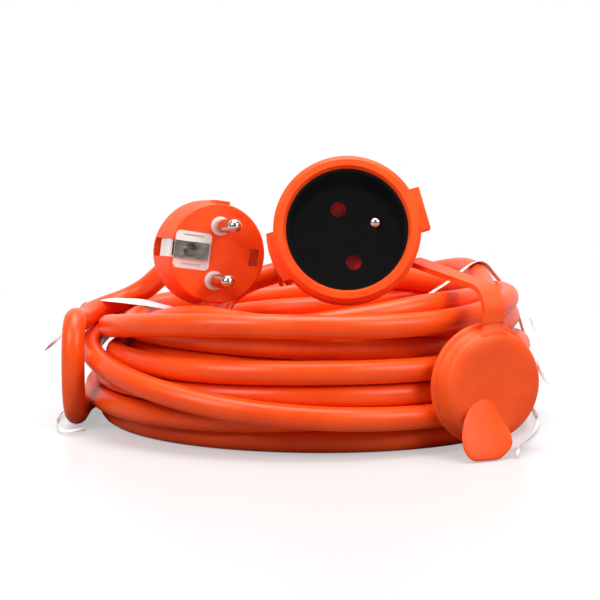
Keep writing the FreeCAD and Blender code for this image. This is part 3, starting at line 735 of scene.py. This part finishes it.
plug_length, coupler_length = 30, 48
plug_back = -aimed(19.0, 5.0)
coupler_back = -aimed(0.0, 13.0)
plug_bend = {
    "root": at(plug_face) + plug_back * plug_length * MM, "back": plug_back,
    "lean": Vector((-1, 0, -1.3)), "bend_r": 26.0 * MM, "turn": 42.0,
}
coupler_bend = {
    "root": at(rim_face) + coupler_back * coupler_length * MM, "back": coupler_back,
    "lean": Vector((-1, 0, -0.28)), "bend_r": 25.0 * MM, "turn": 88.0,
}
plug_relief = ribbed_sleeve(
    "plug_relief_sleeve", plug_bend, root_r=8.6 * MM, tip_r=5.6 * MM, ribs=6,
)
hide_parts("plug_bend_relief")
coupler_relief = ribbed_sleeve(
    "coupler_relief_sleeve", coupler_bend, root_r=9.2 * MM, tip_r=5.6 * MM, ribs=9,
)
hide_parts("coupler_bend_relief")
for bend in (plug_bend, coupler_bend):
    print("sleeve end in mm", in_mm(bent_axis(1.0, **bend)[0] - bundle_centre))

# %% [markdown]
# ## The shutter's spring
#
# Behind the black face a small spring pushes the red shutter shut. It is wound from round steel
# wire, with its coils a little closer at both ends, and it presses together as the shutter slides.

# %% Shutter spring
# The axis is the direction in which the shutter slides.
spring_axis = Vector((0.961262, 0.062005, 0.268573)).normalized()
spring_low, spring_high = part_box("shutter_spring")
spring_length = 11.2 * MM
spring_start = (Vector(spring_low) + Vector(spring_high)) / 2 - spring_axis * spring_length / 2
coils, coil_r, wire_r = 8, 0.7 * MM, 0.17 * MM
coil_steps, wire_around = 20, 8
end_crowding = 0.35

upward = spring_axis.orthogonal().normalized()
sideways = spring_axis.cross(upward)
build = bmesh.new()
rings = []
for i in range(coils * coil_steps + 1):
    share = i / (coils * coil_steps)
    crowding = end_crowding * math.sin(2 * math.pi * share) / (2 * math.pi)
    angle = 2 * math.pi * coils * share
    radial = upward * math.cos(angle) + sideways * math.sin(angle)
    wire = spring_start + spring_axis * (spring_length * (share - crowding)) + radial * coil_r
    rings.append([
        build.verts.new(wire + (radial * math.cos(b) + spring_axis * math.sin(b)) * wire_r)
        for b in circle(wire_around)
    ])
bridge(build, rings)
build.faces.new(rings[0])
build.faces.new(rings[-1][::-1])
coil_spring = smooth_piece("shutter_coil_spring", build, nickel_plate)
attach(coil_spring, "lead")
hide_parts("shutter_spring")
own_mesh(coil_spring)
print("spring coils", coils, "length in mm", round(spring_length / MM, 1))

# %% [markdown]
# ## The stopper cap
#
# The cap is one soft moulding: a shallow cup with a rolled bead round its mouth, a face that dips a
# little in the middle, and a pull tab that grows out of the face and flares towards the floor. The
# cup is a profile turned round its axis, from the middle of its face, over the bead, to the middle
# of its inside.

# %% Cap
cap_hinge = at((59.2, -71.6, 43.8))
cap_out = aimed(28.0, 0.0)
cap_up = Vector((0, 0, 1))
cap_side = cap_out.cross(cap_up)
cap_radius = 20.0
neck_length = 1.25
cap_middle = cap_hinge - cap_up * (cap_radius + neck_length) * MM
cap_around = 96


def cap_point(across, high, out):
    """Place of a point of the cap, in mm from the middle of its face, seen from the front."""
    return cap_middle + (cap_side * across + cap_up * high + cap_out * out) * MM


cap_profile = [
    (0.0, 2.0), (6.0, 2.05), (11.0, 2.25), (14.0, 2.4), (15.6, 2.25), (16.8, 1.75), (17.6, 0.9),
    (18.0, -0.3), (18.3, -3.7), (18.7, -4.15), (19.5, -4.35), (20.0, -4.9), (20.05, -5.7),
    (19.7, -6.4), (19.1, -6.5), (17.1, -6.45), (16.9, -6.0), (16.5, -1.0), (15.4, 0.1),
    (9.0, 0.3), (0.0, 0.3),
]
build = bmesh.new()
rings = []
for radius, out in cap_profile:
    rings.append([
        build.verts.new(cap_point(radius * math.sin(a), radius * math.cos(a), out))
        for a in circle(cap_around if radius else 1)
    ])
bridge(build, rings)
stopper_cap = smooth_piece("stopper_cap", build, moulded_pvc)
print("cap middle in mm", in_mm(cap_middle))

# %% [markdown]
# ### The tab and the neck
#
# A tab like this is a tongue with a soft ridge, thin at its edges. It is made of rings round it,
# five points in front and five behind, and subdivided, which gives the soft flow that a block
# would lack. The neck is a narrow strip that sinks into the face and bends when the cap folds up.

# %% Pull tab
# Each row goes out along the tab: distance from the cap's middle, how far it stands out, where its
# one edge, ridge and other edge are across, and how far the edges lie behind the ridge. The strap
# has turned the cap, so the tab points 22 degrees to the left of straight down. The last number
# slants a row, so that the tab's end lies level on the floor all the same.
tab_turn = math.radians(22.0)
tab_rows = [
    (4.0, 1.8, -0.8, 1.2, 3.4, 0.2, 0.0), (6.5, 2.6, -3.8, 0.8, 5.0, 0.6, 0.0),
    (9.5, 4.4, -7.2, 0.2, 7.2, 1.3, 0.0), (12.5, 6.5, -9.4, -0.4, 9.0, 1.4, 0.05),
    (15.5, 8.4, -10.0, -0.6, 10.0, 1.1, 0.12), (18.5, 9.9, -9.6, -0.2, 10.0, 0.8, 0.24),
    (21.6, 11.2, -7.6, 0.0, 8.2, 0.6, 0.34), (24.1, 11.9, -4.6, 0.0, 5.0, 0.4, 0.37),
]
# The tab is 1.9 mm thick, and thinner in its first 10 mm, where it grows out of the face.
tab_thick = 1.9
thinner_before, thinning_slope = 10, 0.2
shoulder_drop = 0.35
back_shift = 0.3


def tab_point(along, across, out):
    """Place of a point of the tab, along it and across it, from the middle of the cap's face."""
    return cap_point(
        along * math.sin(tab_turn) + across * math.cos(tab_turn),
        -along * math.cos(tab_turn) + across * math.sin(tab_turn), out,
    )


build = bmesh.new()
rings = []
for along, out, left, ridge, right, drop, slant in tab_rows:
    across = [left, (left + ridge) / 2, ridge, (ridge + right) / 2, right]
    outs = [out - drop, out - shoulder_drop * drop, out, out - shoulder_drop * drop, out - drop]
    thick = tab_thick - thinning_slope * max(0, thinner_before - along)
    front = [build.verts.new(tab_point(along + slant * s, s, o)) for s, o in zip(across, outs)]
    rear = [
        build.verts.new(tab_point(along - back_shift + slant * s, s, o - thick))
        for s, o in zip(across, outs)
    ]
    rings.append(front + rear[::-1])
bridge(build, rings)
# Both ends are closed by faces from each pair of points in front to the pair behind it.
for ring in (rings[0], rings[-1]):
    for k in range(4):
        build.faces.new((ring[k], ring[k + 1], ring[8 - k], ring[9 - k]))
pull_tab = smooth_piece("cap_pull_tab", build, moulded_pvc, softened=(2, 3))
print("rows of the tab", len(tab_rows))

# %% Neck
# Each row: height over the cap's middle, half its width, and how far out its front and rear are.
neck_rows = [
    (21.0, 3.8, 0.5, -0.75), (20.2, 3.8, 0.6, -0.75), (19.2, 3.9, 0.85, -0.9),
    (18.2, 4.4, 1.3, -0.9), (17.0, 5.4, 1.7, -0.2), (15.6, 6.0, 1.5, 0.6),
]
edge_drop = 0.25
flat_share = 0.6
build = bmesh.new()
rings = []
for height, half, front, rear in neck_rows:
    outline = (
        (-half, front - edge_drop), (-half * flat_share, front), (half * flat_share, front),
        (half, front - edge_drop), (half, rear), (-half, rear),
    )
    rings.append([build.verts.new(cap_point(across, height, out)) for across, out in outline])
bridge(build, rings)
build.faces.new(rings[0])
build.faces.new(rings[-1][::-1])
neck = smooth_piece("cap_neck", build, moulded_pvc, softened=(1, 2))
for piece in (stopper_cap, pull_tab, neck):
    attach(piece, "cap")
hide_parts("coupler_cap")
print("pieces of the cap", stopper_cap.name, pull_tab.name, neck.name)

# %% [markdown]
# ## The ties
#
# Two loops of clear film hold the bundle at the left and at the right. A loop is pulled tight, so
# it takes the shape of a belt round all the cords that it holds: their convex hull, a little
# outside. The hull is taken from the settled turns in the tie's own plane. The film is soft, so
# its width sways and tilts a little on its way, but it lies flat where it passes under the bundle.

# %% Strips and belts
film_thick = 0.35 * MM


def belt_round(discs, reach):
    """Points of a belt at a distance round the middles of discs, in the plane of the section."""
    cloud = sorted({
        (round(r + reach * math.cos(a), 3), round(z + reach * math.sin(a), 3))
        for r, z in discs for a in circle(20)
    })
    belt = []
    for walk in (cloud, cloud[::-1]):
        chain = []
        for p in walk:
            while len(chain) > 1 and (
                (chain[-1][0] - chain[-2][0]) * (p[1] - chain[-2][1])
                - (chain[-1][1] - chain[-2][1]) * (p[0] - chain[-2][0]) <= 0
            ):
                chain.pop()
            chain.append(p)
        belt += chain[:-1]
    return belt


def even_steps(points, step):
    """Points at an even step along a closed line."""
    closed = np.array(points + [points[0]])
    travel = np.concatenate([[0], np.cumsum(np.linalg.norm(np.diff(closed, axis=0), axis=1))])
    return [
        (float(np.interp(mark, travel, closed[:, 0])), float(np.interp(mark, travel, closed[:, 1])))
        for mark in np.arange(0, travel[-1], step)
    ]


def film_strip(name, points, sides, widths, closed):
    """Thin strip that follows points; sides says which way its width runs at each of them."""
    build = bmesh.new()
    rings = []
    total = len(points)
    for i in range(total):
        before = points[i - 1] if i or closed else points[0]
        after = points[(i + 1) % total] if i < total - 1 or closed else points[-1]
        along = (after - before).normalized()
        wide = (sides[i] - along * sides[i].dot(along)).normalized() * (widths[i] / 2)
        thick = along.cross(wide).normalized() * (film_thick / 2)
        rings.append([
            build.verts.new(points[i] + wide * a + thick * b)
            for a, b in ((-1, -1), (1, -1), (1, 1), (-1, 1))
        ])
    bridge(build, rings + rings[:1] if closed else rings)
    if not closed:
        build.faces.new(rings[0][::-1])
        build.faces.new(rings[-1])
    piece = smooth_piece(name, build, film_painted_glints, softened=(2, 2))
    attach(piece, "lead")
    return piece


print("film thickness in mm", round(film_thick / MM, 2))

# %% The two ties
left_tie_at, right_tie_at = 166.0, 12.0
# The belt runs 0.7 mm outside the cords, in steps of 4 mm, and its middle stays 0.35 mm over the
# floor. It sways along the bundle and tilts, but not where it is lower than 3 mm.
belt_gap, belt_step, belt_floor = 0.7, 4.0, 0.35
sway_spread, sway_mm, sway_over = 1.6, 3, 9
tilt_spread, tilt_share, tilt_over = 1.0, 0.35, 5
flat_under = 3.0


def gentle_noise(draw, spread, length, over):
    """Random values about zero, each one the mean of some neighbours."""
    values = draw.normal(0, spread, length + over - 1)
    return np.convolve(values, np.ones(over) / over, "valid")


def tie_round(name, angle_degrees, extra_discs, width, seed):
    """Film loop round every cord that crosses one upright plane of the bundle."""
    station = int(round((start_angle - angle_degrees) % 360.0 / 360.0 * stations))
    discs = [tuple(laid[i]) for i in range(station, count, stations)] + extra_discs
    hull = even_steps(belt_round(discs, cord_d / 2 + belt_gap), belt_step)
    hull = [(r, max(z, belt_floor)) for r, z in hull]
    angle = math.radians(angle_degrees)
    out = Vector((math.cos(angle), math.sin(angle), 0.0))
    beside = Vector((-math.sin(angle), math.cos(angle), 0.0))
    draw = np.random.default_rng(seed)
    sway = gentle_noise(draw, sway_spread, len(hull), sway_over)
    tilt = gentle_noise(draw, tilt_spread, len(hull), tilt_over)
    places = [
        at(out * r + beside * (s * sway_mm) + Vector((0, 0, z)))
        for (r, z), s in zip(hull, sway)
    ]
    sides = [
        beside + Vector((0, 0, tilt_share * t if z > flat_under else 0.0))
        for t, (r, z) in zip(tilt, hull)
    ]
    widths = [(width * (0.75 + 0.25 * abs(t))) * MM for t in tilt]
    return film_strip(name, places, sides, widths, True), hull


# The left tie also holds the free end of the plug, which crosses its plane twice.
left_crossings = [(82.0, 35.0), (83.5, 4.3)]
left_tie, left_hull = tie_round("left_film_tie", left_tie_at, left_crossings, 9.0, 3)
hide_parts("tie_left")
right_tie, right_hull = tie_round("right_film_tie", right_tie_at, [], 6.0, 8)
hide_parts("tie_right")
print("belt lengths in points", len(left_hull), len(right_hull))

# %% [markdown]
# ### The loose ends of the ties
#
# Where a loop of film is knotted, its ends stick out. Here each tie has two: one stands off the
# side of the bundle, as springy film does, and one lies along the floor. An end is a strip
# through a few places, on a curve that passes through all of them, and it twists slowly.

# %% Loose ends
tail_steps = 6
tail_twist = 0.5


def film_tail(name, places, width):
    """Loose end of a tie: a narrow strip through a few places, in mm from the bundle's middle."""
    knots = [Vector(p) for p in places]
    line = []
    for i in range(len(knots) - 1):
        p0, p1 = knots[max(i - 1, 0)], knots[i]
        p2, p3 = knots[i + 1], knots[min(i + 2, len(knots) - 1)]
        for k in range(tail_steps):
            t = k / tail_steps
            line.append(0.5 * (
                2 * p1 + (p2 - p0) * t + (2 * p0 - 5 * p1 + 4 * p2 - p3) * t * t
                + (3 * p1 - p0 - 3 * p2 + p3) * t ** 3
            ))
    line.append(knots[-1])
    turned = [tail_twist * i for i in range(len(line))]
    sides = [Vector((math.sin(a), 0.3, math.cos(a) + 1.2)) for a in turned]
    return film_strip(name, [at(p) for p in line], sides, [width * MM] * len(line), False)


def outermost(hull, angle_degrees):
    """Where a tie lies furthest out, in mm from the bundle's middle, across and in depth."""
    radius, angle = max(hull)[0], math.radians(angle_degrees)
    return radius * math.cos(angle), radius * math.sin(angle)


left_x, left_y = outermost(left_hull, left_tie_at)
right_x, right_y = outermost(right_hull, right_tie_at)
film_tail("left_tie_tail", [
    (left_x, left_y, 31.0), (left_x - 3, 14.0, 29.0), (left_x - 7, 10.0, 25.0),
    (left_x - 11, 6.0, 21.5),
], 1.6)
film_tail("left_tie_floor_tail", [
    (left_x, left_y, 2.0), (-88.5, -4.0, 1.2), (-88.0, -24.0, 1.2), (-84.0, -39.0, 1.4),
    (-77.0, -36.0, 1.6),
], 1.4)
film_tail("right_tie_tail", [
    (right_x, right_y, 33.0), (right_x + 2.5, 8.0, 27.0), (right_x + 1.5, 2.0, 18.0),
    (right_x + 5.0, -4.0, 12.0),
], 1.6)
film_tail("right_tie_floor_tail", [
    (right_x, right_y, 1.5), (right_x, -14.0, 1.2), (76.0, -42.0, 1.2), (69.0, -66.0, 1.2),
    (66.5, -82.0, 1.2),
], 1.6)
print("tails start at x", round(left_x, 1), round(right_x, 1))

# %% [markdown]
# ## The floor
#
# A product photograph like this one is taken on a white sweep under large soft boxes. The floor
# near the lead takes light and shadow as paper does. Further out it turns into plain white, as a
# sweep does that is lit from behind, so no horizon shows. A glow that only the camera sees lifts
# the near floor to white, and leaves the light on the lead as it is.

# %% Floor
reach = 4
floor_corners = [(-reach, -reach, 0), (reach, -reach, 0), (reach, reach, 0), (-reach, reach, 0)]
floor_mesh = bpy.data.meshes.new("floor")
floor_mesh.from_pydata(floor_corners, [], [(0, 1, 2, 3)])
floor = add_object("floor", floor_mesh)

plain_white = (1, 1, 1, 1)
floor_glow = 0.43
fade_from, fade_to = 0.15, 0.42
white_sweep = new_material(
    "white_sweep", Roughness=0.35, Base_Color=linear("#9A9A9A"), Emission_Color=plain_white,
)
board = white_sweep.node_tree
shader = board.nodes["Principled BSDF"]
seen_by = add_node(board, "ShaderNodeLightPath")
glow = add_node(
    board, "ShaderNodeMath", {1: floor_glow}, {0: (seen_by, "Is Camera Ray")},
    operation="MULTIPLY",
)
board.links.new(glow.outputs[0], shader.inputs["Emission Strength"])
from_middle = add_node(
    board, "ShaderNodeVectorMath", None, {0: (board.nodes["place"], "Object")}, operation="LENGTH",
)
fade = add_node(
    board, "ShaderNodeMapRange", {"From Min": fade_from, "From Max": fade_to},
    {"Value": (from_middle, "Value")}, interpolation_type="SMOOTHSTEP",
)
far_white = add_node(board, "ShaderNodeEmission", {"Color": plain_white, "Strength": 1.0})
blend = add_node(
    board, "ShaderNodeMixShader", None,
    {0: (fade, "Result"), 1: (shader, "BSDF"), 2: (far_white, "Emission")},
)
board.links.new(blend.outputs["Shader"], board.nodes["Material Output"].inputs["Surface"])
floor_mesh.materials.append(white_sweep)
print("floor turns white from", fade_from, "to", fade_to, "m")

# %% [markdown]
# ## The lamps
#
# Three square soft boxes light the lead. The strongest hangs overhead, so the undersides of the
# cords stay dark, and one at each side in front opens the shadows.

# %% Lamps
def lamp(name, place, width, power):
    """A square soft box that looks at the middle of the lead."""
    data = bpy.data.lights.new(name, "AREA")
    data.size = width
    data.energy = power
    made = add_object(name, data)
    made.location = place
    aim = Vector((0, 0, 0.04)) - Vector(place)
    made.rotation_euler = aim.to_track_quat("-Z", "Y").to_euler()


lamp("overhead_soft_box", (0.0, 0.05, 1.0), width=0.7, power=12.0)
lamp("left_soft_box", (-0.7, -0.6, 0.78), width=0.5, power=7.3)
lamp("right_soft_box", (0.7, -0.6, 0.72), width=0.5, power=6.6)

# %% [markdown]
# ## The world
#
# The world is white to the camera, and white behind the lead in reflections, but dim in front,
# where the photographer stands: that is what keeps the black face black. As a light it is dim too,
# so the shadows between the cords stay deep.

# %% World
dim, bright = 0.16, 1.0
world = bpy.data.worlds.new("world")
world.use_nodes = True
board = world.node_tree
background = board.nodes["Background"]
background.inputs["Color"].default_value = plain_white

ray = add_node(board, "ShaderNodeLightPath")
direction = add_node(board, "ShaderNodeTexCoord")
axes = add_node(board, "ShaderNodeSeparateXYZ", None, {0: (direction, "Generated")})
behind = add_node(
    board, "ShaderNodeMapRange", {"From Min": 0.1, "From Max": 0.6}, {"Value": (axes, "Y")},
)
mirrored = add_node(
    board, "ShaderNodeMath", None,
    {0: (ray, "Is Glossy Ray"), 1: (ray, "Is Transmission Ray")}, operation="MAXIMUM",
)
mirrored_white = add_node(
    board, "ShaderNodeMath", None, {0: (mirrored, 0), 1: (behind, "Result")},
    operation="MULTIPLY",
)
white = add_node(
    board, "ShaderNodeMath", None, {0: (ray, "Is Camera Ray"), 1: (mirrored_white, 0)},
    operation="MAXIMUM",
)
strength = add_node(
    board, "ShaderNodeMapRange", {"To Min": dim, "To Max": bright}, {"Value": (white, 0)},
)
board.links.new(strength.outputs["Result"], background.inputs["Strength"])
bpy.context.scene.world = world
bpy.context.scene.view_settings.view_transform = "Standard"
print("world strength", dim, "as light,", bright, "to the camera")
